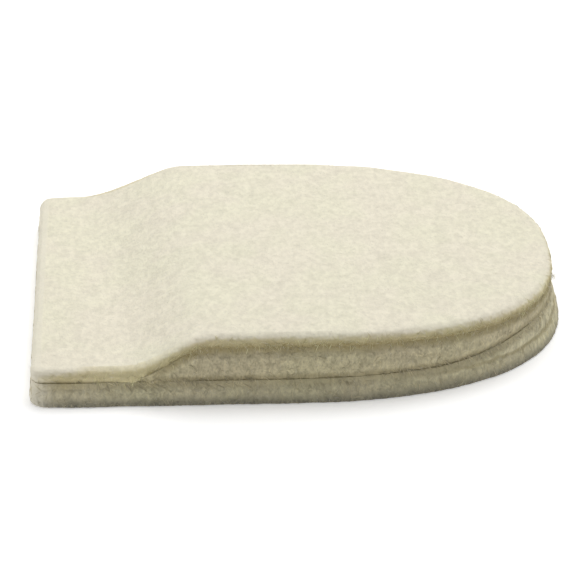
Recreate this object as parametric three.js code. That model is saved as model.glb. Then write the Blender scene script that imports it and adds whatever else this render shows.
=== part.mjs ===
// Felt heel cushion pad: three plies of wool felt glued into a D-shaped wedge.
// The pad lies on its base ply. X runs from the thin straight front to the round heel,
// Y across the pad, Z up, with the origin in the middle of the underside.
// Millimetres throughout.
import * as THREE from 'three';

// Outline, seen from above
const LENGTH = 76.25; // straight front edge to heel tip
const WIDTH = 60;
const SIDE_LENGTH = 35.3; // front edge to where the straight sides run into the heel curve
const HEEL_FULLNESS = 2.48; // exponent of the heel's superellipse, 2 is an ellipse
const CORNER_RADIUS = 2;

// Thickness of each ply and of the glue line between two of them
const TOP_PLY = 1.7;
const MIDDLE_PLY = 4.96;
const BASE_PLY = 3.3;
const GLUE_LINE = 0.12;

// The ramp, where the top ply is carried up over the bevelled end of the middle ply
const RAMP_START = 8.7; // front edge to the foot of the ramp, on the centre line
const RAMP_LENGTH = 15;
const FOOT_SLANT = 7; // how much further back the foot is at the near side than at the far side
const TOP_SLANT = 3.4; // the same for the ramp's upper end
const RAMP_LAG = 1.2; // above 1 the ramp rises later and steeper
const NOSE = 0.5; // thickness of the middle ply's blunt front end

// The heel
const HEEL_DROP = 0.95; // how much lower the top lies at the heel tip
const DROP_RUN = 42; // length over which it falls
const HEEL_LIFT = 2.1; // how much thicker the base ply is at the heel tip
const LIFT_RUN = 20; // length over which it thickens
const CREASE_DEPTH = 0.35; // crease that splits the base ply's edge round the heel

// The edge wall
const EDGE_ROUND = 1.4; // rounding of the top ply's upper edge
const GROOVE_DEPTH = 0.6; // how far a ply's edge pulls in at a glue line
const SIDE_FLARE = 0.45; // how far the base ply stands out past the top ply at the sides
const HEEL_FLARE = 0.85; // the same at the heel tip
const FRONT_FLARE = 0.1; // the same along the front edge

// Sections of the edge walls from bottom to top. rise is a share of the ply's thickness,
// draw a share of GROOVE_DEPTH pulled in, crease a share of CREASE_DEPTH pulled in at the
// heel, and flare a share of the base ply's flare, below 0 where the edge lies back.
const BASE_EDGE = [
  { rise: 0, draw: 0.25, crease: 0, flare: 1 },
  { rise: 0.1, draw: 0, crease: 0, flare: 1 },
  { rise: 0.3, draw: 0, crease: 0, flare: 0.7 },
  { rise: 0.44, draw: 0, crease: 1, flare: 0.55 },
  { rise: 0.6, draw: 0, crease: 0, flare: 0.35 },
  { rise: 0.85, draw: 0.3, crease: 0, flare: 0 },
  { rise: 1, draw: 1, crease: 0, flare: -0.1 },
];
const MIDDLE_EDGE = [
  { rise: 0, draw: 1, crease: 0, flare: -0.2 },
  { rise: 0.1, draw: 0.35, crease: 0, flare: -0.2 },
  { rise: 0.26, draw: 0, crease: 0, flare: -0.2 },
  { rise: 0.48, draw: 0.15, crease: 0, flare: -0.15 },
  { rise: 0.68, draw: 0.1, crease: 0, flare: -0.1 },
  { rise: 0.88, draw: 0.5, crease: 0, flare: 0 },
  { rise: 1, draw: 1, crease: 0, flare: 0 },
];

// How finely the curves are cut
const CORNER_STEPS = 3;
const SIDE_STEPS = 17;
const HEEL_STEPS = 17;
const ROUND_STEPS = 5;

const RAMP_END = RAMP_START + RAMP_LENGTH;
const QUARTER_TURN = Math.PI / 2;

// The origin lies midway between the base ply's front edge and its heel tip
const ORIGIN_ALONG = (LENGTH + HEEL_FLARE - FRONT_FLARE) / 2;

function smooth(from, to, value) {
  const share = THREE.MathUtils.clamp((value - from) / (to - from), 0, 1);
  return share * share * (3 - 2 * share);
}

// Share of the full rise that the ramp has reached at a distance from the front
function rampRise(along) {
  const share = THREE.MathUtils.clamp((along - RAMP_START) / RAMP_LENGTH, 0, 1);
  return smooth(0, 1, share ** RAMP_LAG);
}

// Distance from the front at which the ramp has reached a share of its rise
function whereRampReaches(rise) {
  let low = RAMP_START;
  let high = RAMP_END;
  for (let step = 0; step < 40; step += 1) {
    const middle = (low + high) / 2;
    if (rampRise(middle) < rise) low = middle;
    else high = middle;
  }
  return low;
}

// Heights of the faces between the plies
const fromTip = (along) => LENGTH - along;
const baseTop = (along) => BASE_PLY + HEEL_LIFT * (1 - smooth(0, LIFT_RUN, fromTip(along)));
const heelDrop = (along) => HEEL_DROP * (1 - smooth(0, DROP_RUN, fromTip(along)));
const middleTop = (along) =>
  BASE_PLY + (GLUE_LINE + MIDDLE_PLY) * rampRise(along) - heelDrop(along);
const topUnderside = (along) => middleTop(along) + GLUE_LINE;
const topSurface = (along) => topUnderside(along) + TOP_PLY;

// Half of the ramp's slant across the pad, at a distance from the front
function slant(along) {
  const reach = RAMP_START - CORNER_RADIUS;
  const intoFoot = smooth(RAMP_START - reach, RAMP_START, along) * (FOOT_SLANT / 2);
  const overRamp = smooth(RAMP_START, RAMP_END, along) * ((TOP_SLANT - FOOT_SLANT) / 2);
  const fade = 1 - smooth(RAMP_END, SIDE_LENGTH + RAMP_LENGTH / 2, along);
  return (intoFoot + overRamp) * fade;
}

// One side of the outline from the front to the heel: distance along the pad, half width
// there, and the outward direction on the far side
function outline(front) {
  const stations = [];
  const half = WIDTH / 2;
  for (let step = 0; step < CORNER_STEPS; step += 1) {
    const turn = (QUARTER_TURN * step) / CORNER_STEPS;
    stations.push({
      along: front + CORNER_RADIUS * (1 - Math.cos(turn)),
      half: half - CORNER_RADIUS * (1 - Math.sin(turn)),
      outX: -Math.cos(turn),
      outY: Math.sin(turn),
    });
  }
  const sideStart = front + CORNER_RADIUS;
  for (let step = 0; step < SIDE_STEPS; step += 1) {
    const along = THREE.MathUtils.lerp(sideStart, SIDE_LENGTH, step / SIDE_STEPS);
    stations.push({ along, half, outX: 0, outY: 1 });
  }
  const heelLength = LENGTH - SIDE_LENGTH;
  for (let step = 0; step < HEEL_STEPS; step += 1) {
    const turn = (QUARTER_TURN * step) / HEEL_STEPS;
    const shareX = Math.sin(turn) ** (2 / HEEL_FULLNESS);
    const shareY = Math.cos(turn) ** (2 / HEEL_FULLNESS);
    const gradient = new THREE.Vector2(
      shareX ** (HEEL_FULLNESS - 1) / heelLength,
      shareY ** (HEEL_FULLNESS - 1) / half,
    ).normalize();
    stations.push({
      along: SIDE_LENGTH + heelLength * shareX,
      half: half * shareY,
      outX: gradient.x,
      outY: gradient.y,
    });
  }
  return stations;
}

// How far the base ply stands out where the outline faces outX along the pad
function flareAt(outX) {
  const endFlare = outX > 0 ? HEEL_FLARE : FRONT_FLARE;
  return THREE.MathUtils.lerp(SIDE_FLARE, endFlare, Math.abs(outX));
}

// How open the groove under the top ply is: it closes up along the ramp
const grooveOpen = (along) => smooth(RAMP_START + RAMP_LENGTH / 2, RAMP_END, along);

// Each row of a wall says how far out a station lies and how high
function wallRows(edge, bottom, top, drawAt) {
  return edge.map((row) => ({
    out: (along, outX) => {
      const crease = CREASE_DEPTH * row.crease * smooth(0, 1, outX * 2);
      return flareAt(outX) * row.flare - drawAt(row, along) - crease;
    },
    height: (along) => THREE.MathUtils.lerp(bottom(along), top(along), row.rise),
  }));
}

// A closed ply: rings of points joined into a wall, and a face below and above made of
// strips that run across the pad from side to side
function plyGeometry(front, rows) {
  const stations = outline(front);
  const count = stations.length;
  const positions = [];
  const triangles = [];

  const addPoint = (along, across, height) => {
    positions.push(along - ORIGIN_ALONG, across, height);
    return positions.length / 3 - 1;
  };
  const alongOf = (index) => positions[index * 3] + ORIGIN_ALONG;

  const rings = rows.map((row) => {
    const near = [];
    const far = [];
    for (const { along, half, outX, outY } of stations) {
      const out = row.out(along, outX);
      const height = row.height(along);
      const across = half + out * outY;
      near.push(addPoint(along + slant(along) + out * outX, -across, height));
      far.push(addPoint(along - slant(along) + out * outX, across, height));
    }
    const tip = addPoint(LENGTH + row.out(LENGTH, 1), 0, row.height(LENGTH));
    const centre = addPoint(front - row.out(front, -1), 0, row.height(front));
    return { near, far, tip, centre, loop: [...near, tip, ...far.toReversed(), centre] };
  });

  const addQuad = (a, b, c, d) => triangles.push(a, b, c, a, c, d);

  for (let level = 0; level + 1 < rings.length; level += 1) {
    const lower = rings[level].loop;
    const upper = rings[level + 1].loop;
    for (let place = 0; place < lower.length; place += 1) {
      const next = (place + 1) % lower.length;
      addQuad(lower[place], lower[next], upper[next], upper[place]);
    }
  }

  const addFace = (ring, row, facesUp) => {
    const middle = stations.map(({ along }, place) => {
      if (place === 0) return ring.centre;
      const x = (alongOf(ring.near[place]) + alongOf(ring.far[place])) / 2;
      return addPoint(x, 0, row.height(along));
    });
    const addFlat = (a, b, c) => triangles.push(...(facesUp ? [a, b, c] : [a, c, b]));
    for (let place = 0; place + 1 < count; place += 1) {
      const next = place + 1;
      addFlat(ring.near[place], ring.near[next], middle[next]);
      addFlat(ring.near[place], middle[next], middle[place]);
      addFlat(middle[place], middle[next], ring.far[next]);
      addFlat(middle[place], ring.far[next], ring.far[place]);
    }
    addFlat(ring.near[count - 1], ring.tip, middle[count - 1]);
    addFlat(middle[count - 1], ring.tip, ring.far[count - 1]);
  };
  addFace(rings[0], rows[0], false);
  addFace(rings[rings.length - 1], rows[rows.length - 1], true);

  const geometry = new THREE.BufferGeometry();
  geometry.setAttribute('position', new THREE.Float32BufferAttribute(positions, 3));
  geometry.setIndex(triangles);
  geometry.computeVertexNormals();
  return geometry;
}

// The base ply lies flat and carries the whole outline
function basePly() {
  const rows = wallRows(BASE_EDGE, () => 0, baseTop, (row) => GROOVE_DEPTH * row.draw);
  return plyGeometry(0, rows);
}

// The middle ply makes the lift and ends in a bevel under the ramp
function middlePly() {
  const front = whereRampReaches((NOSE + GLUE_LINE) / (MIDDLE_PLY + GLUE_LINE));
  const underside = (along) => baseTop(along) + GLUE_LINE;
  const drawAt = (row, along) => {
    const upperHalf = row.rise > 0.5;
    return GROOVE_DEPTH * row.draw * (upperHalf ? grooveOpen(along) : 1);
  };
  return plyGeometry(front, wallRows(MIDDLE_EDGE, underside, middleTop, drawAt));
}

// The top ply is one sheet over everything, with a rounded upper edge
function topPly() {
  const rows = [
    {
      out: (along) => -GROOVE_DEPTH * grooveOpen(along),
      height: topUnderside,
    },
  ];
  for (let step = 0; step <= ROUND_STEPS; step += 1) {
    const turn = (QUARTER_TURN * step) / ROUND_STEPS;
    rows.push({
      out: () => EDGE_ROUND * (Math.cos(turn) - 1),
      height: (along) => topSurface(along) - EDGE_ROUND * (1 - Math.sin(turn)),
    });
  }
  return plyGeometry(0, rows);
}

function felt(color, roughness) {
  return new THREE.MeshStandardMaterial({ color, roughness, metalness: 0 });
}

function ply(name, geometry, material) {
  const mesh = new THREE.Mesh(geometry, material);
  mesh.name = name;
  return mesh;
}

const pad = new THREE.Group();
pad.add(ply('base_ply', basePly(), felt(0xd3cbb4, 0.97)));
pad.add(ply('middle_ply', middlePly(), felt(0xdad2bb, 0.96)));
pad.add(ply('top_ply', topPly(), felt(0xe6dfcd, 0.95)));

export default pad;
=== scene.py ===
"""A felt heel cushion pad on a white studio floor.

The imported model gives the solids. Each felt ply starts as a copy of its solid, its cut
edge swells as soft cloth while the glued faces are held, and then it gets the lumps of
matted wool. Loose wool fibres lie over the upper face and cross the cut edges.
"""

import math

import bpy
import numpy as np
from mathutils import Matrix, Vector, noise
from mathutils.bvhtree import BVHTree
from mathutils.kdtree import KDTree


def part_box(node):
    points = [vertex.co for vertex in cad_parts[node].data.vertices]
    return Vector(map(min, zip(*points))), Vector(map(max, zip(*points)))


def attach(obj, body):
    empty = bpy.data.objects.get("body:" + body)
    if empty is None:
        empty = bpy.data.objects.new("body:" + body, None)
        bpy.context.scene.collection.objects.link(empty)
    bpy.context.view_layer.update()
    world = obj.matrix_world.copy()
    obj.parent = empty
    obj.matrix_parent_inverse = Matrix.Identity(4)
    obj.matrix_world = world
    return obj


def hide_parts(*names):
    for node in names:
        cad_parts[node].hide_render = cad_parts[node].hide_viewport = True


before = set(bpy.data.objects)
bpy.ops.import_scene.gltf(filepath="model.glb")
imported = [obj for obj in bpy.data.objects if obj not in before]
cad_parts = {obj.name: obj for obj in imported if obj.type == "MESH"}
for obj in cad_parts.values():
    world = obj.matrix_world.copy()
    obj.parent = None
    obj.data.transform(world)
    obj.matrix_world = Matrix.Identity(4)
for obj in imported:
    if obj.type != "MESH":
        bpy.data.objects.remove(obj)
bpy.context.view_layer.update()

bl_info = {
    "name": "Felt Heel Pad",
    "version": (1, 0, 0),
    "blender": (4, 5, 0),
    "location": "View3D > Sidebar > Heel Pad",
    "description": "Dresses a heel pad's plies as wool felt and lights them",
    "category": "Object",
}

MM = 0.001
TAU = 2 * math.pi

# The cloth solver is happy with pieces of about a metre, so a ply swells ten times enlarged
SWELL_SCALE = 10
SWELL_FRAMES = 9


class FeltSettings(bpy.types.PropertyGroup):
    """Sizes and colours of the felt plies"""

    face_colour: bpy.props.FloatVectorProperty(
        name="Face Colour",
        description="Colour of the top ply's wool",
        subtype="COLOR",
        size=3,
        min=0,
        max=1,
        default=(0.84, 0.795, 0.66),
    )
    # Partly the cut wool's own tone and partly painted shade: the upright cut edges are the same
    # felt as the face, darkened in colour for the shade that falls on them.
    edge_colour_and_shade: bpy.props.FloatVectorProperty(
        name="Edge Colour",
        description="Colour of the cut wool at the edges",
        subtype="COLOR",
        size=3,
        min=0,
        max=1,
        default=(0.565, 0.508, 0.345),
    )
    # Partly the base ply's own greyer tone and partly painted shade of its upright cut edge, as
    # with the edge colour.
    base_colour_and_shade: bpy.props.FloatVectorProperty(
        name="Base Colour",
        description="Colour of the base ply's cut wool, a little greyer",
        subtype="COLOR",
        size=3,
        min=0,
        max=1,
        default=(0.635, 0.585, 0.41),
    )
    # Partly the cut edge's browner tone and partly painted shade on the top ply's rounded edge.
    lip_colour_and_shade: bpy.props.FloatVectorProperty(
        name="Lip Colour",
        description="Colour of the top ply's cut edge below its rounding",
        subtype="COLOR",
        size=3,
        min=0,
        max=1,
        default=(0.70, 0.62, 0.38),
    )
    # Painted shade: the grooves at the glue joints are mostly filled with wool, and this colour
    # darkens them and the heel's crease in place of the shade that falls in them.
    joint_shade_colour: bpy.props.FloatVectorProperty(
        name="Joint Colour",
        description="Colour that the glue gives the wool at the joints",
        subtype="COLOR",
        size=3,
        min=0,
        max=1,
        default=(0.33, 0.27, 0.13),
    )
    # Painted shade: this colour darkens the bottom corner, standing for the contact shadow where
    # the pad meets the floor.
    foot_shade_colour: bpy.props.FloatVectorProperty(
        name="Foot Colour",
        description="Colour of the bottom corner, greyed by what the pad lay on",
        subtype="COLOR",
        size=3,
        min=0,
        max=1,
        default=(0.20, 0.19, 0.15),
    )
    face_mesh: bpy.props.FloatProperty(
        name="Face Mesh",
        description="Side of the quads that the top ply is remeshed to, before they are halved",
        unit="LENGTH",
        default=0.485 * MM,
    )
    edge_mesh: bpy.props.FloatProperty(
        name="Edge Mesh",
        description="Side of the quads that the lower plies are remeshed to, before halving",
        unit="LENGTH",
        default=0.32 * MM,
    )
    swell_mesh: bpy.props.FloatProperty(
        name="Swell Mesh",
        description="Side of the quads of the cloth that swells",
        unit="LENGTH",
        default=1.0 * MM,
    )
    swell_pressure: bpy.props.FloatProperty(
        name="Swell Pressure",
        description="Pressure inside the cloth",
        default=4.0,
    )
    swell_limit: bpy.props.FloatProperty(
        name="Swell Limit",
        description="How far a point of the cut edge may move",
        unit="LENGTH",
        default=0.25 * MM,
    )
    edge_margin: bpy.props.FloatProperty(
        name="Edge Margin",
        description="Width of the strip along the cut edge that the glue doesn't hold",
        unit="LENGTH",
        default=2.5 * MM,
    )
    lip_margin: bpy.props.FloatProperty(
        name="Lip Margin",
        description="The same on the top ply, whose face stays flat up to its rounding",
        unit="LENGTH",
        default=1.4 * MM,
    )
    glue_fill: bpy.props.FloatProperty(
        name="Glue Fill",
        description="How far the felt at a joint reaches into the glue line",
        unit="LENGTH",
        default=0.066 * MM,
    )
    groove_fill: bpy.props.FloatProperty(
        name="Groove Fill",
        description="Share of a groove's depth that loose wool fills at a joint",
        subtype="FACTOR",
        min=0,
        max=1,
        default=0.95,
    )
    foot_spread: bpy.props.FloatProperty(
        name="Foot Spread",
        description="How far the base ply's foot spreads over the floor",
        unit="LENGTH",
        default=0.5 * MM,
    )
    nose_reach: bpy.props.FloatProperty(
        name="Nose Reach",
        description="How far the middle ply's front end is drawn out into the gap before it",
        unit="LENGTH",
        default=3.9 * MM,
    )
    wave_height: bpy.props.FloatProperty(
        name="Wave Height",
        description="How far a hand-cut edge wanders",
        unit="LENGTH",
        default=0.1 * MM,
    )
    wave_size: bpy.props.FloatProperty(
        name="Wave Size",
        description="Length over which a cut edge wanders",
        unit="LENGTH",
        default=5 * MM,
    )
    grain_height: bpy.props.FloatProperty(
        name="Grain Height",
        description="Height of the small lumps that matted wool makes on the face",
        unit="LENGTH",
        default=0.025 * MM,
    )
    edge_grain_height: bpy.props.FloatProperty(
        name="Edge Grain Height",
        description="The same on the cut edges, where the wool is open",
        unit="LENGTH",
        default=0.07 * MM,
    )
    grain_size: bpy.props.FloatProperty(
        name="Grain Size",
        description="Distance between the small lumps",
        unit="LENGTH",
        default=0.8 * MM,
    )


class FibreSettings(bpy.types.PropertyGroup):
    """Numbers and sizes of the loose wool fibres"""

    face_count: bpy.props.IntProperty(
        name="Face Fibres",
        description="How many fibres lie on the upper face",
        default=9000,
    )
    edge_count: bpy.props.IntProperty(
        name="Edge Fibres",
        description="How many fibres lie along the cut edges",
        default=7000,
    )
    lip_count: bpy.props.IntProperty(
        name="Lip Fibres",
        description="How many fibres lie on the top ply's rounded edge",
        default=1100,
    )
    fuzz_count: bpy.props.IntProperty(
        name="Fuzz Fibres",
        description="How many fibres stand off the cut edges",
        default=4500,
    )
    joint_count: bpy.props.IntProperty(
        name="Joint Fibres",
        description="How many slanted fibres cross the base ply's joint",
        default=1700,
    )
    tuft_count: bpy.props.IntProperty(
        name="Tuft Fibres",
        description="How many fibres the small loose tuft at the heel has",
        default=40,
    )
    tuft_place: bpy.props.FloatVectorProperty(
        name="Tuft Place",
        description="Where the loose tuft stands off the top ply's edge",
        subtype="TRANSLATION",
        size=3,
        default=(36.9 * MM, -8.5 * MM, 8.4 * MM),
    )
    face_radius: bpy.props.FloatProperty(
        name="Face Fibre Radius",
        description="Radius of a small bundle of fibres on the upper face",
        unit="LENGTH",
        default=0.018 * MM,
    )
    edge_radius: bpy.props.FloatProperty(
        name="Edge Fibre Radius",
        description="Radius of a small bundle of fibres on a cut edge",
        unit="LENGTH",
        default=0.036 * MM,
    )
    joint_radius: bpy.props.FloatProperty(
        name="Joint Fibre Radius",
        description="Radius of a lock of wool that crosses the base ply's joint",
        unit="LENGTH",
        default=0.065 * MM,
    )
    fuzz_radius: bpy.props.FloatProperty(
        name="Fuzz Radius",
        description="Radius of a fibre that stands off",
        unit="LENGTH",
        default=0.01 * MM,
    )


class StudioSettings(bpy.types.PropertyGroup):
    """Camera and lights"""

    azimuth: bpy.props.FloatProperty(
        name="Azimuth",
        description="Camera's turn about the pad, 0 looks along +Y",
        subtype="ANGLE",
        default=math.radians(-2.446),
    )
    elevation: bpy.props.FloatProperty(
        name="Elevation",
        description="Camera's height above the horizon",
        subtype="ANGLE",
        default=math.radians(26.428),
    )
    distance: bpy.props.FloatProperty(
        name="Distance",
        description="Camera to the middle of the pad's underside",
        unit="LENGTH",
        default=0.5087,
    )
    lens: bpy.props.FloatProperty(
        name="Lens",
        description="Focal length in millimetres",
        default=212.5,
    )
    key_power: bpy.props.FloatProperty(
        name="Key Power",
        description="Power of the soft box overhead",
        unit="POWER",
        default=11.0,
    )
    side_power: bpy.props.FloatProperty(
        name="Side Power",
        description="Power of the low soft box on the left",
        unit="POWER",
        default=1.8,
    )
    sky: bpy.props.FloatProperty(
        name="Sky",
        description="Strength of the even white surroundings",
        default=0.19,
    )
    floor_glow: bpy.props.FloatProperty(
        name="Floor Glow",
        description="Light that the translucent white floor gives by itself",
        default=0.27,
    )


def activate(piece):
    """Makes a piece the only selected one."""
    bpy.ops.object.select_all(action="DESELECT")
    piece.select_set(True)
    bpy.context.view_layer.objects.active = piece


def new_object(name, mesh):
    piece = bpy.data.objects.new(name, mesh)
    bpy.context.scene.collection.objects.link(piece)
    activate(piece)
    return piece


def vertex_table(mesh, key):
    """Vertex places or normals as an array, one row each."""
    table = np.empty(len(mesh.vertices) * 3, np.float32)
    mesh.vertices.foreach_get(key, table)
    return table.reshape(-1, 3).astype(float)


def face_table(mesh):
    """Centre, normal and area of each face."""
    count = len(mesh.polygons)
    centres = np.empty(count * 3, np.float32)
    normals = np.empty(count * 3, np.float32)
    areas = np.empty(count, np.float32)
    mesh.polygons.foreach_get("center", centres)
    mesh.polygons.foreach_get("normal", normals)
    mesh.polygons.foreach_get("area", areas)
    return centres.reshape(-1, 3), normals.reshape(-1, 3), areas.astype(float)


def set_places(mesh, places):
    mesh.vertices.foreach_set("co", places.astype(np.float32).ravel())
    mesh.update()


def paint(mesh, name, values):
    """Stores one value for each vertex, for the materials to read."""
    layer = mesh.attributes.new(name, "FLOAT", "POINT")
    layer.data.foreach_set("value", values.astype(np.float32))


def fade(near, far, value):
    """1 below near, 0 above far and smooth between them."""
    share = np.clip((value - near) / (far - near), 0, 1)
    return 1 - share * share * (3 - 2 * share)


def noise_table(places, size, seed):
    """Smooth noise from about -1 to 1 at each place; size may differ along X, Y and Z."""
    shift = Vector((seed * 3.7, seed * 1.9, seed * 5.3))
    points = places / np.asarray(size)
    return np.array([noise.noise(Vector(point) + shift) for point in points])


def ply_tree(name):
    piece = bpy.data.objects[name]
    return BVHTree.FromObject(piece, bpy.context.evaluated_depsgraph_get())


def unit(vectors):
    return vectors / (np.linalg.norm(vectors, axis=-1, keepdims=True) + 1e-12)


def even_copy(node, name, mesh_size):
    """An even quad mesh over a copy of a ply's solid."""
    piece = new_object(name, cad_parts[node].data.copy())
    bpy.ops.object.mode_set(mode="EDIT")
    bpy.ops.mesh.select_all(action="SELECT")
    bpy.ops.mesh.remove_doubles(threshold=0.001 * MM)
    bpy.ops.object.mode_set(mode="OBJECT")
    even = piece.modifiers.new("even_quads", "REMESH")
    even.mode = "VOXEL"
    even.voxel_size = mesh_size
    bpy.ops.object.modifier_apply(modifier=even.name)
    return piece


def level_distance(goals, places):
    """Distance in plan from each place to the nearest goal."""
    tree = KDTree(len(goals))
    for index, goal in enumerate(goals):
        tree.insert((goal[0], goal[1], 0), index)
    tree.balance()
    return np.array([tree.find((x, y, 0))[2] for x, y, _ in places])


class Rim:
    """The cut edge of a ply, for asking how far inside it a place lies."""

    WALL_LEAN = 0.6

    def __init__(self, mesh):
        places = vertex_table(mesh, "co")
        normals = vertex_table(mesh, "normal")
        self.wall = places[np.abs(normals[:, 2]) < self.WALL_LEAN]

    def inside(self, places):
        return level_distance(self.wall, places)


def thin_faces(piece, chosen, share):
    """Merges the chosen faces down to a share of their number."""
    bpy.ops.object.mode_set(mode="EDIT")
    bpy.ops.mesh.select_all(action="DESELECT")
    bpy.ops.object.mode_set(mode="OBJECT")
    piece.data.polygons.foreach_set("select", chosen)
    bpy.ops.object.mode_set(mode="EDIT")
    bpy.ops.mesh.select_mode(type="FACE")
    bpy.ops.mesh.decimate(ratio=share)
    bpy.ops.object.mode_set(mode="OBJECT")


def halve_faces(piece):
    finer = piece.modifiers.new("finer", "SUBSURF")
    finer.levels = 1
    finer.render_levels = 1
    bpy.ops.object.modifier_apply(modifier=finer.name)


def stretch_nose(piece, felt):
    """Draws the middle ply's blunt front end out into the wedge-shaped gap before it."""
    mesh = piece.data
    places = vertex_table(mesh, "co")
    blunt = places[vertex_table(mesh, "normal")[:, 0] < -0.8]
    slant, start = np.polyfit(blunt[:, 1], blunt[:, 0], 1)
    behind = places[:, 0] - slant * places[:, 1] - start
    pull = fade(0, 3 * MM, behind)
    places[:, 0] -= felt.nose_reach * pull
    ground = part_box("middle_ply")[0][2] + 0.01 * MM
    cover = ply_tree("top_ply_felt")
    for index in np.nonzero(pull > 0)[0]:
        x, y, z = places[index]
        hit = cover.ray_cast(Vector((x, y, ground)), Vector((0, 0, 1)))[0]
        if hit:
            places[index, 2] = min(z, hit.z - 0.01 * MM)
    set_places(mesh, places)


def swelling(node, felt, margin):
    """Lets a ply's cut edge swell as cloth; gives a tree of places and their moves."""
    cloth_piece = even_copy(node, "swelling", felt.swell_mesh)
    mesh = cloth_piece.data
    start = vertex_table(mesh, "co")
    inside = Rim(mesh).inside(start)
    held = cloth_piece.vertex_groups.new(name="held")
    glued = np.nonzero(inside > margin)[0]
    held.add(glued.tolist(), 1.0, "REPLACE")
    mesh.transform(Matrix.Scale(SWELL_SCALE, 4))
    cloth = cloth_piece.modifiers.new("swell", "CLOTH")
    cloth.settings.quality = 4
    cloth.settings.use_pressure = True
    cloth.settings.uniform_pressure_force = felt.swell_pressure
    cloth.settings.effector_weights.gravity = 0
    cloth.settings.vertex_group_mass = held.name
    cloth.collision_settings.use_collision = False
    for step in range(SWELL_FRAMES):
        bpy.context.scene.frame_set(1 + step)
    activate(cloth_piece)
    bpy.ops.object.modifier_apply(modifier=cloth.name)
    moves = vertex_table(mesh, "co") / SWELL_SCALE - start
    bpy.data.objects.remove(cloth_piece)
    bpy.context.scene.frame_set(1)
    tree = KDTree(len(start))
    for index, place in enumerate(start):
        tree.insert(place, index)
    tree.balance()
    return tree, moves


def swollen(places, normals, free, tree, moves, limit):
    """Moves of a finer mesh's places, blended from the nearest cloth points.

    The cloth also pulls its sharp corners in, which felt doesn't do, so nothing goes
    inwards.
    """
    shift = np.zeros_like(places)
    for index in np.nonzero(free > 0)[0]:
        near = tree.find_n(places[index], 6)
        weights = np.array([1 / (distance + 0.1 * MM) for _, _, distance in near])
        rows = [row for _, row, _ in near]
        shift[index] = weights @ moves[rows] / weights.sum()
    inwards = np.minimum((shift * normals).sum(axis=1), 0)
    shift -= normals * inwards[:, None]
    reach = np.linalg.norm(shift, axis=1)
    return shift * np.minimum(1, limit / (reach + 1e-9))[:, None]


def outward(places):
    """Level directions from the pad's middle line to each place near its outline."""
    middle_x = np.clip(places[:, 0], -30 * MM, 5 * MM)
    middle = np.stack([middle_x, places[:, 1] * 0.7], 1)
    return unit(places[:, :2] - middle)


def ply_faces(tree, places, free, depth):
    """Heights of a ply's lower and upper face, a depth inside each place of its free edge."""
    inner = places[:, :2] - outward(places) * depth
    low = np.zeros(len(places))
    high = np.zeros(len(places))
    for index in np.nonzero(free > 0)[0]:
        x, y = inner[index]
        above = tree.ray_cast(Vector((x, y, 0.1)), Vector((0, 0, -1)))[0]
        below = tree.ray_cast(Vector((x, y, -0.1)), Vector((0, 0, 1)))[0]
        low[index] = below.z if below else 0
        high[index] = above.z if above else 0
    return low, high


class Sock:
    """A shader socket that can be used in Python expressions."""

    def __init__(self, maker, socket):
        self.maker = maker
        self.socket = socket

    def _maths(self, operation, first, second):
        return self.maker.node(
            "ShaderNodeMath", {"operation": operation}, {0: first, 1: second}
        )

    def __add__(self, other):
        return self._maths("ADD", self, other)

    def __radd__(self, other):
        return self._maths("ADD", other, self)

    def __sub__(self, other):
        return self._maths("SUBTRACT", self, other)

    def __rsub__(self, other):
        return self._maths("SUBTRACT", other, self)

    def __mul__(self, other):
        return self._maths("MULTIPLY", self, other)

    def __rmul__(self, other):
        return self._maths("MULTIPLY", other, self)


class Shader:
    """One node material."""

    def __init__(self, name):
        self.material = bpy.data.materials.new(name)
        self.material.use_nodes = True
        self.tree = self.material.node_tree
        self.tree.nodes.clear()

    def node(self, kind, settings=None, inputs=None, output=0):
        """Adds a node, sets it, feeds its sockets and gives one output."""
        made = self.tree.nodes.new(kind)
        for key, value in (settings or {}).items():
            setattr(made, key, value)
        for key, value in (inputs or {}).items():
            if isinstance(value, Sock):
                self.tree.links.new(value.socket, made.inputs[key])
            else:
                made.inputs[key].default_value = value
        return Sock(self, made.outputs[output]) if made.outputs else None

    def mix(self, factor, first, second, blend="MIX"):
        """Mixes two colours, each a socket or three numbers."""
        inputs = {0: factor}
        for index, value in ((6, first), (7, second)):
            inputs[index] = value if isinstance(value, Sock) else (*value, 1)
        settings = {"data_type": "RGBA", "blend_type": blend}
        return self.node("ShaderNodeMix", settings, inputs, output=2)

    def places(self, scale):
        """Places on the object in millimetres, times a scale for each axis."""
        objects = self.node("ShaderNodeTexCoord", output="Object")
        scales = tuple(share / MM for share in scale)
        settings = {"vector_type": "POINT"}
        return self.node("ShaderNodeMapping", settings, {"Vector": objects, "Scale": scales})

    def noise(self, where, scale, detail=2, roughness=0.5, output="Fac"):
        inputs = {"Vector": where, "Scale": scale, "Detail": detail, "Roughness": roughness}
        return self.node("ShaderNodeTexNoise", {}, inputs, output=output)

    def painted(self, name):
        return self.node("ShaderNodeAttribute", {"attribute_name": name}, output="Fac")

    def contrast(self, value, low, high):
        """Stretches low to high over 0 to 1."""
        inputs = {"Value": value, "From Min": low, "From Max": high}
        return self.node("ShaderNodeMapRange", {"interpolation_type": "SMOOTHSTEP"}, inputs)

    def finish(self, **sockets):
        names = {key.replace("_", " "): value for key, value in sockets.items()}
        skin = self.node("ShaderNodeBsdfPrincipled", {}, names)
        self.node("ShaderNodeOutputMaterial", {}, {"Surface": skin})
        return self.material


def shade(colour, factor):
    return tuple(min(1, channel * factor) for channel in colour)


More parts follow.
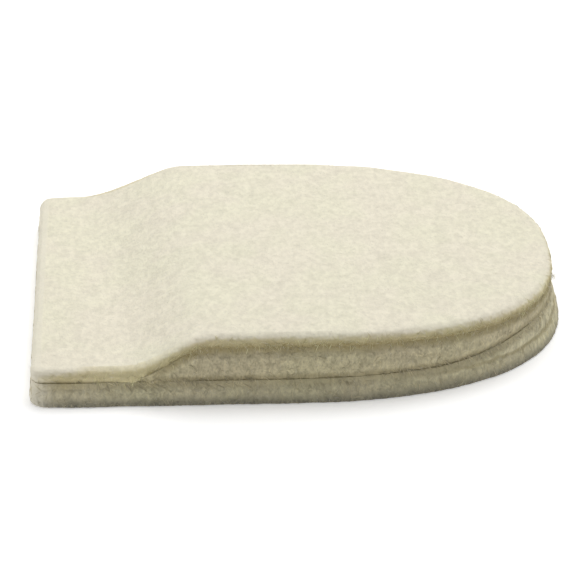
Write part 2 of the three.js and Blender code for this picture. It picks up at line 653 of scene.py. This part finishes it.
def felt_material(name, colour, felt, squeeze, mottle, weights):
    """Matted wool: lumps, curled fibres, faint warm and cool patches, painted shade at the joints,
    the crease and the foot, the top ply's cut edge browner with painted shade, and painted light
    at the front end.

    squeeze scales the pattern along each axis, so that the wool has a lie, mottle is how
    far the tone varies, and weights are the shares of lumps, strands and clouds in it.
    """
    shader = Shader(name)
    where = shader.places(squeeze)
    drift = shader.noise(where, 0.8, 2, output="Color")
    bent = shader.node(
        "ShaderNodeVectorMath", {"operation": "SCALE"}, {0: drift, "Scale": 1.6}
    )
    curled = shader.node("ShaderNodeVectorMath", {"operation": "ADD"}, {0: where, 1: bent})
    lumps = shader.contrast(shader.noise(where, 1.3, 3, 0.6), 0.3, 0.7)
    strands = shader.contrast(shader.noise(curled, 3.2, 2, 0.5), 0.3, 0.7)
    clouds = shader.contrast(shader.noise(where, 0.55, 3, 0.65), 0.3, 0.7)
    patches = shader.noise(shader.places((1, 1, 1)), 0.11, 3)
    tone = weights[0] * lumps + weights[1] * strands + weights[2] * clouds
    # The top ply's cut edge takes its own browner tone together with painted shade.
    flat = shader.mix(shader.painted("lip"), colour, tuple(felt.lip_colour_and_shade))
    dark = shader.mix(1.0, flat, (1 - mottle,) * 3, blend="MULTIPLY")
    pale = shader.mix(1.0, flat, (1 + mottle,) * 3, blend="MULTIPLY")
    base = shader.mix(tone, dark, pale)
    warm = (1.0, 0.988, 0.975)
    cool = (0.99, 1.0, 0.955)
    tint = shader.mix(shader.contrast(patches, 0.35, 0.65), warm, cool)
    base = shader.mix(1.0, base, tint, blend="MULTIPLY")
    # Painted shade at the glue joints and in the heel's crease
    joint = shader.painted("joint") * (0.7 + 0.5 * lumps * strands)
    base = shader.mix(joint, base, tuple(felt.joint_shade_colour))
    # Painted contact shadow along the bottom corner
    foot = shader.painted("foot") * (0.7 + 0.5 * strands)
    base = shader.mix(foot, base, tuple(felt.foot_shade_colour))
    # Painted light: the front end of the cut edges is paled towards the face colour
    base = shader.mix(shader.painted("pale"), base, tuple(felt.face_colour))
    bump = shader.node(
        "ShaderNodeBump",
        {},
        {"Height": 0.5 * lumps + 0.5 * strands, "Distance": 0.045 * MM, "Strength": 1.0},
    )
    return shader.finish(
        Base_Color=base,
        Roughness=0.95,
        Specular_IOR_Level=0.15,
        Sheen_Weight=0.05,
        Sheen_Roughness=0.6,
        Normal=bump,
    )


def wool_material(name, colour):
    """Loose fibres, each with its own tone."""
    shader = Shader(name)
    tone = shader.painted("tone")
    base = shader.mix(tone, shade(colour, 0.8), shade(colour, 1.6))
    return shader.finish(
        Base_Color=base,
        Roughness=0.85,
        Specular_IOR_Level=0.15,
        Sheen_Weight=0.15,
    )


def strand_shape(points):
    """Ring number, section offset and faces of one tapered three-sided strand."""
    bpy.ops.object.select_all(action="DESELECT")
    bpy.ops.mesh.primitive_uv_sphere_add(segments=3, ring_count=points - 1, radius=1)
    pattern = bpy.context.object
    bpy.ops.object.mode_set(mode="EDIT")
    bpy.ops.mesh.quads_convert_to_tris()
    bpy.ops.object.mode_set(mode="OBJECT")
    places = vertex_table(pattern.data, "co")
    rings = np.rint(np.arccos(np.clip(-places[:, 2], -1, 1)) * (points - 1) / math.pi)
    faces = np.array([tuple(face.vertices) for face in pattern.data.polygons])
    bpy.data.objects.remove(pattern)
    return rings.astype(int), places[:, :2], faces


def lay_strands(name, paths, radii, tones, material):
    """Copies one strand along every path and joins the copies into one piece."""
    count, points, _ = paths.shape
    rings, section, faces = strand_shape(points)
    ahead = unit(np.gradient(paths, axis=1))
    side = unit(np.cross(np.array([0.31, 0.17, 0.93]), ahead))
    other = np.cross(ahead, side)
    spread = section[:, :1] * side[:, rings] + section[:, 1:] * other[:, rings]
    places = paths[:, rings] + radii[:, None, None] * spread
    size = len(rings)
    table = faces[None] + (np.arange(count) * size)[:, None, None]
    mesh = bpy.data.meshes.new(name)
    mesh.from_pydata(places.reshape(-1, 3).tolist(), [], table.reshape(-1, 3).tolist())
    mesh.update()
    paint(mesh, "tone", np.repeat(tones, size))
    piece = new_object(name, mesh)
    mesh.materials.append(material)
    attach(piece, "root")
    print(name, len(mesh.polygons), "triangles")
    return piece


def nearest(trees, point):
    """Nearest surface place and its normal among several pieces."""
    hits = [tree.find_nearest(point) for tree in trees]
    place, normal, _, _ = min(hits, key=lambda hit: hit[3])
    return place, normal


def bridge_paths(trees, roots, heads, arch, clear, points):
    """Paths from roots to where their heads meet the wool, laid on it and over its gaps."""
    paths = np.zeros((len(roots), points, 3))
    steps = np.linspace(0, 1, points)
    for index, (root, head) in enumerate(zip(roots, heads)):
        end, _ = nearest(trees, Vector(head))
        start = Vector(root)
        for step, share in enumerate(steps):
            point = start.lerp(end, share)
            place, normal = nearest(trees, point)
            lift = clear[index] + arch[index] * math.sin(math.pi * share)
            height = max((point - place).dot(normal), 0)
            paths[index, step] = place + normal * max(lift, height)
    return paths


PLIES = ("top_ply", "middle_ply", "base_ply")


class HEELPAD_OT_plies(bpy.types.Operator):
    """Dress the three plies as felt"""

    bl_idname = "heelpad.plies"
    bl_label = "Felt Plies"

    def execute(self, context):
        felt = context.scene.heelpad_felt
        across = (1.0, 0.6, 1.0)
        standing = (1.0, 1.0, 0.6)
        smooth = (0.55, 0.15, 0.3)
        open_wool = (0.45, 0.35, 0.2)
        face = felt_material("top_felt", tuple(felt.face_colour), felt, across, 0.105, smooth)
        # The edge and base felts carry painted shade of the upright walls in their colours.
        edge = felt_material("edge_felt", tuple(felt.edge_colour_and_shade), felt, standing, 0.34, open_wool)
        base = felt_material("base_felt", tuple(felt.base_colour_and_shade), felt, standing, 0.3, open_wool)
        self.make_ply(felt, "top_ply", felt.face_mesh, felt.lip_margin, face, "top_felt", 0)
        self.make_ply(felt, "middle_ply", felt.edge_mesh, felt.edge_margin, edge, "edge_felt", 1)
        self.make_ply(felt, "base_ply", felt.edge_mesh, felt.edge_margin, base, "edge_felt", 2)
        return {"FINISHED"}

    def make_ply(self, felt, node, mesh_size, margin, material, slot, seed):
        piece = even_copy(node, node + "_felt", mesh_size)
        mesh = piece.data
        if node == "middle_ply":
            stretch_nose(piece, felt)
        rim = Rim(mesh)
        tree = ply_tree(piece.name)
        self.thin_glued_faces(piece, node, rim, felt)
        halve_faces(piece)
        places = vertex_table(mesh, "co")
        normals = vertex_table(mesh, "normal")
        inside = rim.inside(places)
        free = fade(margin * 0.3, margin, inside)
        low, high = ply_faces(tree, places, free, 1.7 * MM)
        places, normals = self.swell_edge(felt, node, mesh, margin, places, normals, free)
        self.add_lumps(felt, node, mesh, places, normals, free, seed)
        self.fill_grooves(felt, node, mesh, low, high, free)
        self.close_joints(felt, node, mesh, low, high, free)
        self.paint_light_and_shade(node, mesh, low, high, free, seed)
        bpy.ops.object.shade_smooth()
        mesh.materials.clear()
        mesh.materials.append(material)
        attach(piece, "root")
        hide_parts(node)
        print(piece.name, sum(len(face.vertices) - 2 for face in mesh.polygons), "triangles")

    def thin_glued_faces(self, piece, node, rim, felt):
        centres, normals, _ = face_table(piece.data)
        inner = rim.inside(centres) > felt.edge_margin
        above = inner & (normals[:, 2] > 0.6)
        below = inner & (normals[:, 2] < -0.6)
        if node != "base_ply":
            thin_faces(piece, below, 0.03)
        if node == "middle_ply":
            centres, normals, _ = face_table(piece.data)
            inner = rim.inside(centres) > felt.edge_margin
            above = inner & (normals[:, 2] > 0.6)
        if node != "top_ply":
            thin_faces(piece, above, 0.03)
        if node == "base_ply":
            centres, normals, _ = face_table(piece.data)
            inner = rim.inside(centres) > felt.edge_margin
            thin_faces(piece, inner & (normals[:, 2] < -0.6), 0.03)

    def swell_edge(self, felt, node, mesh, margin, places, normals, free):
        tree, moves = swelling(node, felt, margin)
        places = places + swollen(places, normals, free, tree, moves, felt.swell_limit)
        set_places(mesh, places)
        return places, vertex_table(mesh, "normal")

    def fill_grooves(self, felt, node, mesh, low, high, free):
        """Draws the wool at a glue joint out to the wall, so that its groove is shallow."""
        places = vertex_table(mesh, "co")
        normals = vertex_table(mesh, "normal")
        full = 0.1 * MM if node == "top_ply" else 0.35 * MM
        near = fade(full, full + 0.8 * MM, places[:, 2] - low)
        if node != "top_ply":
            near = np.maximum(near, fade(full, full + 0.8 * MM, high - places[:, 2]))
        wall = (np.abs(normals[:, 2]) < 0.35) & (near < 0.4) & (free > 0)
        edge = np.nonzero(free > 0)[0]
        depth = np.zeros(len(places))
        depth[edge] = level_distance(places[wall], places[edge])
        push = depth * fade(0.8 * MM, 1.9 * MM, depth) * near * felt.groove_fill
        if node == "base_ply":
            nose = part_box("middle_ply")[0][0]
            push *= 1 - 0.55 * (1 - fade(nose - 3 * MM, nose, places[:, 0]))
            at_heel = 1 - fade(12 * MM, 30 * MM, places[:, 0])
            sideways = 1 - fade(-0.9, -0.3, outward(places)[:, 0])
            spread = felt.foot_spread * (1 - 0.5 * at_heel) * sideways
            push += free * spread * fade(0.3 * MM, 2.6 * MM, places[:, 2])
        places[:, :2] += outward(places) * push[:, None]
        set_places(mesh, places)

    def close_joints(self, felt, node, mesh, low, high, free):
        """Brings rounded corners to the joint or the floor they lie at, and none past it."""
        places = vertex_table(mesh, "co")
        floor = low - felt.glue_fill
        if node == "top_ply":
            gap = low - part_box("middle_ply")[0][2]
            floor -= gap * fade(0.3 * MM, 0.6 * MM, gap)
        if node == "base_ply":
            floor = np.zeros(len(places))
        height = places[:, 2]
        flat = 0.1 * MM
        corner = 0.6 * MM
        height += fade(flat, corner, height - low) * (floor - height)
        if node != "top_ply":
            ceiling = high + felt.glue_fill
            height += fade(flat, corner, high - height) * (ceiling - height)
            height = np.minimum(height, ceiling)
        height = np.maximum(height, floor)
        places[:, 2] = np.where(free > 0, height, places[:, 2])
        set_places(mesh, places)

    def add_lumps(self, felt, node, mesh, places, normals, free, seed):
        size = felt.grain_size
        shown = free > 0
        if node == "top_ply":
            shown |= normals[:, 2] > 0.5
        if node == "base_ply":
            shown |= normals[:, 2] < -0.5
        seen = places[shown]
        wave = noise_table(seen, (felt.wave_size,) * 3, seed)
        small = noise_table(seen, (size, size, size * 1.6), seed + 10)
        fine = noise_table(seen, (size * 0.45,) * 3, seed + 20)
        wall = fade(0.5, 0.9, np.abs(normals[shown, 2]))
        height = felt.grain_height + (felt.edge_grain_height - felt.grain_height) * wall
        lift = felt.wave_height * free[shown] * wave + height * (small + 0.7 * fine)
        places[shown] += normals[shown] * lift[:, None]
        places[:, 2] = np.maximum(places[:, 2], 0)
        set_places(mesh, places)

    def paint_light_and_shade(self, node, mesh, low, high, free, seed):
        """Paints shade at the glue joints, the heel's crease and the bottom corner, the top ply's
        cut edge browner with painted shade, and painted light at the front end.
        """
        places = vertex_table(mesh, "co")
        normals = vertex_table(mesh, "normal")
        edge = free > 0
        wander = np.zeros(len(places))
        wander[edge] = 0.3 * MM * noise_table(places[edge], (1.5 * MM,) * 3, seed + 30)
        from_top = high - places[:, 2] + wander
        from_foot = places[:, 2] - low + wander
        along = places[:, 0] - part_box("middle_ply")[0][0]
        behind_ramp = 1 - fade(4 * MM, 13 * MM, along)
        before_ramp = fade(-5 * MM, -1 * MM, along)
        on_ramp = (1 - before_ramp) * (1 - behind_ramp)
        lip = np.zeros(len(places))
        foot = np.zeros(len(places))
        if node == "top_ply":
            joint = fade(0.1 * MM, 1.0 * MM, from_foot) * (behind_ramp + 0.5 * before_ramp)
            # Partly the cut edge's browner tone and partly painted shade: it grows as the edge
            # turns steeper and is left off the faces turned to the left, where the side light
            # falls.
            upright = normals[:, 2] - 0.35 * on_ramp
            cut = edge * fade(0.25, 0.95, upright)
            lip = cut * (1 - 0.95 * fade(-0.9, -0.3, normals[:, 0]))
        elif node == "middle_ply":
            upper = fade(0.1 * MM, 1.6 * MM, from_top) * behind_ramp
            joint = np.maximum(upper, 0.5 * fade(0.1 * MM, 1.1 * MM, from_foot))
        else:
            # Painted shade along the heel's crease, and at the base ply's top joint below
            crease_height = 0.44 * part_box("base_ply")[1][2]
            at_heel = 1 - fade(12 * MM, 24 * MM, places[:, 0])
            crease = fade(0.1 * MM, 0.5 * MM, np.abs(places[:, 2] - crease_height + wander))
            joint = (0.48 + 0.2 * before_ramp) * fade(0.2 * MM, 1.5 * MM, from_top)
            joint = np.maximum(joint, 0.6 * crease * at_heel)
            # Painted contact shadow, darker towards the floor
            foot = 0.85 * fade(0.1 * MM, 1.7 * MM, places[:, 2] + wander)
        paint(mesh, "joint", joint * edge)
        paint(mesh, "foot", foot * edge)
        paint(mesh, "lip", lip)
        # Painted light on the front end of each ply's cut edge, paled towards the face colour as
        # if lit from the left.
        from_front = places[:, 0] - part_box("base_ply")[0][0]
        paint(mesh, "pale", 0.75 * edge * fade(0, 4.5 * MM, from_front))


class HEELPAD_OT_face_fibres(bpy.types.Operator):
    """Lay loose fibres on the upper face"""

    bl_idname = "heelpad.face_fibres"
    bl_label = "Face Fibres"

    def execute(self, context):
        fibres = context.scene.heelpad_fibres
        draws = np.random.default_rng(11)
        ply = bpy.data.objects["top_ply_felt"]
        centres, normals, areas = face_table(ply.data)
        weight = areas * (normals[:, 2] > 0.5)
        count = fibres.face_count
        picked = draws.choice(len(areas), size=count, p=weight / weight.sum())
        tree = ply_tree("top_ply_felt")
        points = 5
        length = draws.uniform(0.5, 1.7, count) * MM
        heading = draws.normal(TAU / 4, 0.9, count)
        bend = draws.normal(0, 1.6, count)
        radii = fibres.face_radius * draws.uniform(0.7, 1.2, count)
        paths = np.zeros((count, points, 3))
        place = centres[picked, :2].astype(float)
        kept = np.ones(count, bool)
        for step in range(points):
            for index in range(count):
                ground = tree.ray_cast(Vector((*place[index], 0.02)), Vector((0, 0, -1)))[0]
                if ground is None:
                    kept[index] = False
                else:
                    paths[index, step] = (*place[index], ground.z - 0.35 * radii[index])
            heading = heading + bend / points
            reach = length / (points - 1)
            place += np.stack([np.cos(heading), np.sin(heading)], 1) * reach[:, None]
        colour = tuple(context.scene.heelpad_felt.face_colour)
        lay_strands(
            "face_fibres",
            paths[kept],
            radii[kept],
            draws.uniform(0.16, 0.32, count)[kept],
            wool_material("face_wool", colour),
        )
        return {"FINISHED"}


class HEELPAD_OT_edge_fibres(bpy.types.Operator):
    """Lay fibres along the cut edges and let some stand off them"""

    bl_idname = "heelpad.edge_fibres"
    bl_label = "Edge Fibres"

    def execute(self, context):
        fibres = context.scene.heelpad_fibres
        draws = np.random.default_rng(12)
        pieces = [bpy.data.objects[node + "_felt"] for node in PLIES]
        trees = [ply_tree(piece.name) for piece in pieces]
        tables = [face_table(piece.data) for piece in pieces]
        rims = [Rim(piece.data) for piece in pieces]
        centres = np.concatenate([table[0] for table in tables]).astype(float)
        normals = np.concatenate([table[1] for table in tables]).astype(float)
        areas = np.concatenate([table[2] for table in tables])
        inside = np.concatenate([rim.inside(table[0]) for rim, table in zip(rims, tables)])
        wall = (np.abs(normals[:, 2]) < 0.8) & (inside < 1.5 * MM)
        on_top = np.arange(len(areas)) < len(tables[0][2])
        felt = context.scene.heelpad_felt
        pale_wool = wool_material("pale_wool", tuple(felt.face_colour))
        lip_wool = wool_material("lip_wool", tuple(felt.lip_colour_and_shade))
        edge_wool = wool_material("edge_wool", tuple(felt.edge_colour_and_shade))
        joint_wool = wool_material("joint_wool", shade(felt.edge_colour_and_shade, 0.95))
        surface = (fibres, draws, trees, centres, normals)
        weight = areas * (wall & ~on_top)
        self.lay_combed("edge_fibres", edge_wool, fibres.edge_count, surface, weight)
        upright = np.abs(normals[:, 2]) < 0.4
        weight = areas * (wall & on_top & upright & (normals[:, 0] > -0.5))
        self.lay_combed("lip_fibres", lip_wool, fibres.lip_count, surface, weight)
        apart = self.joint_distance(trees[2], centres, wall & ~on_top)
        near_joint = (np.abs(apart) < 1.0 * MM) & (np.abs(apart) > 0.3 * MM)
        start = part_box("middle_ply")[0][0]
        weight = areas * near_joint * (centres[:, 0] > start)
        ahead = (centres[:, 0] > -28 * MM) & (centres[:, 0] < -8 * MM)
        weight = weight * (1 + 1.5 * ahead)
        self.lay_combed("joint_fibres", joint_wool, fibres.joint_count, surface, weight, apart)
        weight = areas * (wall | (on_top & (inside < 0.8 * MM))) * (1 + 1.5 * on_top)
        self.lay_fuzz("edge_fuzz", pale_wool, fibres.fuzz_count, surface, weight)
        self.lay_tuft(fibres, draws, pale_wool)
        return {"FINISHED"}

    def joint_distance(self, base_tree, centres, chosen):
        """Heights from each chosen place up to the base ply's joint, and 1 m elsewhere."""
        apart = np.full(len(centres), 1.0)
        free = np.ones(np.count_nonzero(chosen))
        _, top = ply_faces(base_tree, centres[chosen], free, 2.6 * MM)
        apart[chosen] = top - centres[chosen, 2]
        return apart

    def lay_tuft(self, fibres, draws, wool):
        """A small loose tuft that stands off the top ply's edge at the heel."""
        count = fibres.tuft_count
        steps = np.linspace(0, 1, 7)
        root = np.array(fibres.tuft_place)
        roots = root + draws.normal(0, 0.2 * MM, (count, 3))
        aims = unit(np.array([0.8, -0.35, -0.15]) + draws.normal(0, 0.45, (count, 3)))
        length = draws.uniform(0.4, 1.1, count) * MM
        curl = draws.normal(0, 0.5, (count, 3))
        reach = length[:, None, None] * steps[None, :, None]
        twist = (steps**2)[None, :, None] * length[:, None, None] * curl[:, None, :]
        paths = roots[:, None] + aims[:, None] * reach + twist
        radii = fibres.fuzz_radius * draws.uniform(1.0, 2.2, count)
        tones = draws.uniform(0.0, 0.3, count)
        lay_strands("heel_tuft", paths, radii, tones, wool)

    def lay_combed(self, name, wool, count, surface, weight, apart=None):
        """Lays fibres on the edge, up or down at random or all crossing a joint aslant."""
        fibres, draws, trees, centres, normals = surface
        weight = weight / weight.sum()
        picked = draws.choice(len(weight), size=count, p=weight)
        roots = centres[picked]
        facing = normals[picked]
        upright = np.array([0.0, 0.0, 1.0]) - facing * facing[:, 2:]
        upright = unit(upright)
        along = np.cross(upright, facing)
        lean = draws.normal(0, math.radians(40), count)
        sense = draws.choice([-1, 1], count)
        length = draws.uniform(0.5, 1.7, count) * MM
        radii = fibres.edge_radius * draws.uniform(0.45, 1.25, count)
        if apart is not None:
            lean = draws.normal(math.radians(-35), math.radians(14), count)
            sense = np.sign(apart[picked])
            past = draws.uniform(0.2, 0.8, count) * MM
            length = (np.abs(apart[picked]) + past) / np.cos(lean)
            radii = fibres.joint_radius * draws.uniform(0.4, 1.2, count)
        ways = upright * np.cos(lean)[:, None] + along * np.sin(lean)[:, None]
        ways *= sense[:, None]
        paths = bridge_paths(
            trees,
            roots,
            roots + ways * length[:, None],
            draws.uniform(0, 0.05, count) * MM,
            radii * draws.uniform(-0.4, 0.9, count),
            5,
        )
        paths[:, :, 2] = np.maximum(paths[:, :, 2], 0.03 * MM)
        tones = draws.beta(1.3, 2.6, count)
        lay_strands(name, paths, radii, tones, wool)

    def lay_fuzz(self, name, wool, count, surface, weight):
        fibres, draws, trees, centres, normals = surface
        weight = weight / weight.sum()
        picked = draws.choice(len(weight), size=count, p=weight)
        roots = centres[picked]
        facing = normals[picked]
        along = unit(np.cross(draws.normal(0, 1, (count, 3)), facing))
        length = draws.uniform(0.3, 1.1, count) * MM
        stand = draws.uniform(0.1, 0.55, count)
        steps = np.linspace(0, 1, 5)
        curl = draws.normal(0, 0.35, (count, 3))
        reach = length[:, None, None] * steps[None, :, None]
        rise = (steps**1.5)[None, :, None] * (length * stand)[:, None, None]
        twist = (steps**2)[None, :, None] * length[:, None, None] * curl[:, None, :]
        paths = roots[:, None] + along[:, None] * reach + facing[:, None] * rise + twist * 0.5
        paths[:, :, 2] = np.maximum(paths[:, :, 2], 0.03 * MM)
        radii = fibres.fuzz_radius * draws.uniform(0.7, 1.3, count)
        tones = draws.uniform(0.2, 0.6, count)
        lay_strands(name, paths, radii, tones, wool)


class HEELPAD_OT_stage(bpy.types.Operator):
    """Set the floor, lights and camera"""

    bl_idname = "heelpad.stage"
    bl_label = "Stage"

    def execute(self, context):
        studio = context.scene.heelpad_studio
        self.add_floor(studio)
        self.add_lights(context, studio)
        self.add_camera(context, studio)
        context.scene.view_settings.view_transform = "Standard"
        context.scene.view_settings.look = "None"
        return {"FINISHED"}

    def add_floor(self, studio):
        bpy.ops.object.select_all(action="DESELECT")
        bpy.ops.mesh.primitive_plane_add(size=6, location=(0, 0, 0))
        floor = bpy.context.object
        floor.name = "studio_floor"
        white = Shader("white_floor").finish(
            Base_Color=(0.95, 0.95, 0.95, 1),
            Roughness=0.9,
            Emission_Color=(1, 1, 1, 1),
            Emission_Strength=studio.floor_glow,
        )
        floor.data.materials.append(white)

    def add_lights(self, context, studio):
        world = bpy.data.worlds.new("white_sky")
        context.scene.world = world
        world.use_nodes = True
        sky = world.node_tree.nodes["Background"]
        sky.inputs["Color"].default_value = (1, 1, 1, 1)
        sky.inputs["Strength"].default_value = studio.sky
        self.add_soft_box("soft_box", 1.0, studio.key_power, (0.15, 0.4, 0.9))
        self.add_soft_box("side_box", 0.5, studio.side_power, (-0.9, 0.0, 0.1))

    def add_soft_box(self, name, size, power, place):
        data = bpy.data.lights.new(name, "AREA")
        data.shape = "SQUARE"
        data.size = size
        data.energy = power
        light = bpy.data.objects.new(name, data)
        bpy.context.scene.collection.objects.link(light)
        light.location = place
        light.rotation_euler = (-light.location).to_track_quat("-Z", "Y").to_euler()

    def add_camera(self, context, studio):
        data = bpy.data.cameras.new("studio_camera")
        data.lens = studio.lens
        data.sensor_width = 36
        data.clip_start = 0.01
        data.clip_end = 20
        camera = bpy.data.objects.new("studio_camera", data)
        context.scene.collection.objects.link(camera)
        turn = studio.azimuth
        tilt = studio.elevation
        back = Vector(
            (
                math.sin(turn) * math.cos(tilt),
                -math.cos(turn) * math.cos(tilt),
                math.sin(tilt),
            )
        )
        right = Vector((math.cos(turn), math.sin(turn), 0))
        up = back.cross(right)
        centre = Vector((-0.25 * MM, 0, 0))
        aim_at = centre - right * 0.575 * MM + up * 2.337 * MM
        camera.location = centre + back * studio.distance
        look = aim_at - camera.location
        camera.rotation_euler = look.to_track_quat("-Z", "Y").to_euler()
        context.scene.camera = camera


class HEELPAD_PT_panel(bpy.types.Panel):
    """Heel pad settings and steps"""

    bl_idname = "HEELPAD_PT_panel"
    bl_label = "Heel Pad"
    bl_space_type = "VIEW_3D"
    bl_region_type = "UI"
    bl_category = "Heel Pad"

    def draw(self, context):
        layout = self.layout
        scene = context.scene
        for group in (scene.heelpad_felt, scene.heelpad_fibres, scene.heelpad_studio):
            for name in group.__annotations__:
                layout.prop(group, name)
        for step in STEPS:
            layout.operator(step.bl_idname)


STEPS = (
    HEELPAD_OT_plies,
    HEELPAD_OT_face_fibres,
    HEELPAD_OT_edge_fibres,
    HEELPAD_OT_stage,
)
GROUPS = (FeltSettings, FibreSettings, StudioSettings)
CLASSES = (*GROUPS, *STEPS, HEELPAD_PT_panel)


def register():
    for item in CLASSES:
        bpy.utils.register_class(item)
    bpy.types.Scene.heelpad_felt = bpy.props.PointerProperty(type=FeltSettings)
    bpy.types.Scene.heelpad_fibres = bpy.props.PointerProperty(type=FibreSettings)
    bpy.types.Scene.heelpad_studio = bpy.props.PointerProperty(type=StudioSettings)


def unregister():
    del bpy.types.Scene.heelpad_studio
    del bpy.types.Scene.heelpad_fibres
    del bpy.types.Scene.heelpad_felt
    for item in reversed(CLASSES):
        bpy.utils.unregister_class(item)


def main():
    register()
    bpy.ops.heelpad.plies()
    bpy.ops.heelpad.face_fibres()
    bpy.ops.heelpad.edge_fibres()
    bpy.ops.heelpad.stage()


if __name__ == "__main__":
    main()
